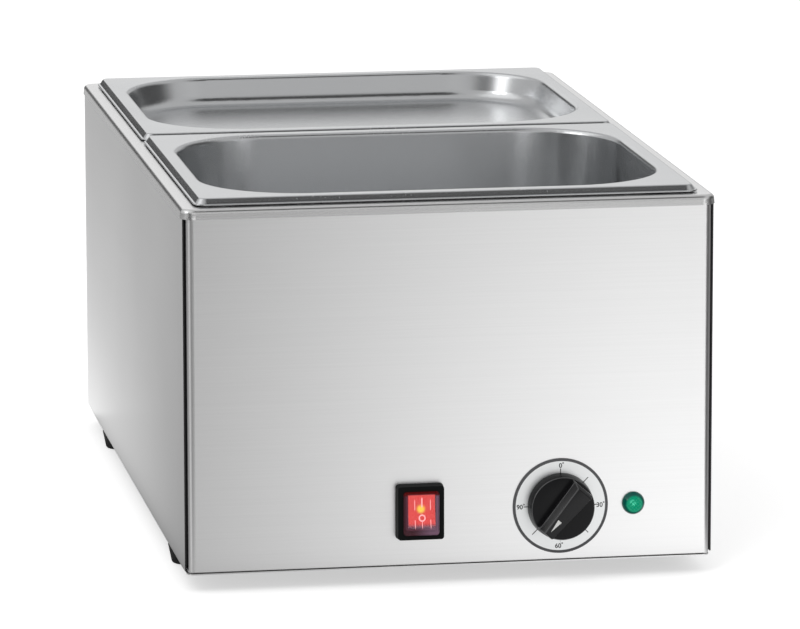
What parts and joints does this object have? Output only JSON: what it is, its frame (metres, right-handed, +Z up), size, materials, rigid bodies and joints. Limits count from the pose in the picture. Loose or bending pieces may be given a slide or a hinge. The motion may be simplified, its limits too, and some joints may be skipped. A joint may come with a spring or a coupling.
{
  "type": "bain-marie",
  "caption": "Countertop electric bain-marie: brushed steel housing with a heated water well, lift-out pans, rocker switch, temperature knob, pilot lamp and rubber feet.",
  "frame": {"origin": "on the standing surface, under the middle of the whole object's box, knob and cable gland included", "axes": "+Z up, -Y towards the user at the control side, +X to the user's right"},
  "size_m": [0.344, 0.595, 0.2531],
  "materials": {
    "panel_steel": "brushed stainless sheet, fine straight grain, satin",
    "deck_steel": "brushed stainless sheet, satin",
    "pan_steel": "drawn stainless, smooth satin",
    "tank_steel": "drawn stainless, dull",
    "fastener_steel": "zinc-plated steel",
    "foot_rubber": "moulded black rubber, matt",
    "spreader_aluminium": "mill finish",
    "heater_sheath": "heat-darkened steel sheath",
    "dial_silver": "satin silver disc with dark grey printing",
    "knob_black": "moulded black plastic, satin",
    "pointer_white": "white inlay",
    "thermostat_case": "moulded black case",
    "copper": "drawn copper, dull",
    "brass": "turned brass",
    "ceramic": "glazed white ceramic",
    "switch_black": "moulded black plastic, half gloss",
    "rocker_red": "red translucent plastic",
    "cover_clear": "clear soft plastic",
    "neon_glass": "small glass lamp",
    "lens_green": "green clear plastic with faceted front",
    "lamp_case": "moulded black plastic",
    "gland_black": "moulded black nylon",
    "wire_sleeve": "heat-proof wire sleeve"
  },
  "bodies": {
    "housing": {"front_panel": "panel_steel", "rear_panel": "panel_steel", "left_side_panel": "panel_steel", "right_side_panel": "panel_steel", "base_plate": "panel_steel", "top_deck": "deck_steel", "water_tank": "tank_steel", "base_screws": "fastener_steel", "foot_screws": "fastener_steel", "foot_nuts": "fastener_steel", "foot_front_left": "foot_rubber", "foot_front_right": "foot_rubber", "foot_rear_left": "foot_rubber", "foot_rear_right": "foot_rubber", "heat_spreader": "spreader_aluminium", "heating_element": "heater_sheath", "heater_pins": "fastener_steel", "heater_clamp_bars": "fastener_steel", "heater_studs": "fastener_steel", "heater_nuts": "fastener_steel", "sensor_bulb": "copper", "bulb_saddle": "fastener_steel", "capillary_tube": "copper", "safety_cutout": "ceramic", "cutout_bracket": "fastener_steel", "dial_plate": "dial_silver", "thermostat_body": "thermostat_case", "thermostat_screws": "fastener_steel", "switch_housing": "switch_black", "switch_cover": "cover_clear", "switch_tabs": "brass", "lamp_lens": "lens_green", "lamp_body": "lamp_case", "lamp_nut": "lamp_case", "gland_body": "gland_black", "gland_lock_nut": "gland_black", "gland_cap_nut": "gland_black", "terminal_block": "ceramic", "terminal_inserts": "brass", "block_screws": "fastener_steel", "earth_stud": "fastener_steel", "earth_nuts": "brass", "wires": "wire_sleeve"},
    "knob": {"control_knob": "knob_black", "knob_pointer": "pointer_white", "knob_clip": "fastener_steel", "thermostat_spindle": "fastener_steel"},
    "rocker": {"switch_rocker": "rocker_red", "switch_neon": "neon_glass"},
    "front_pan": {"front_pan": "pan_steel"},
    "rear_pan": {"rear_pan": "pan_steel"}
  },
  "joints": [
    {"name": "knob_turn", "type": "hinge", "parent": "housing", "child": "knob", "pos_m": [0.071, -0.27145, 0.049], "axis": [0, 1, 0], "range_deg": [-217.5, 52.5]},
    {"name": "rocker_tilt", "type": "hinge", "parent": "housing", "child": "rocker", "pos_m": [-0.0206, -0.27135, 0.049], "axis": [1, 0, 0], "range_deg": [0, 16]},
    {"name": "front_pan_lift", "type": "slide", "parent": "housing", "child": "front_pan", "axis": [0, 0, 1], "range_m": [0, 0.18]},
    {"name": "rear_pan_lift", "type": "slide", "parent": "housing", "child": "rear_pan", "axis": [0, 0, 1], "range_m": [0, 0.06]}
  ]
}
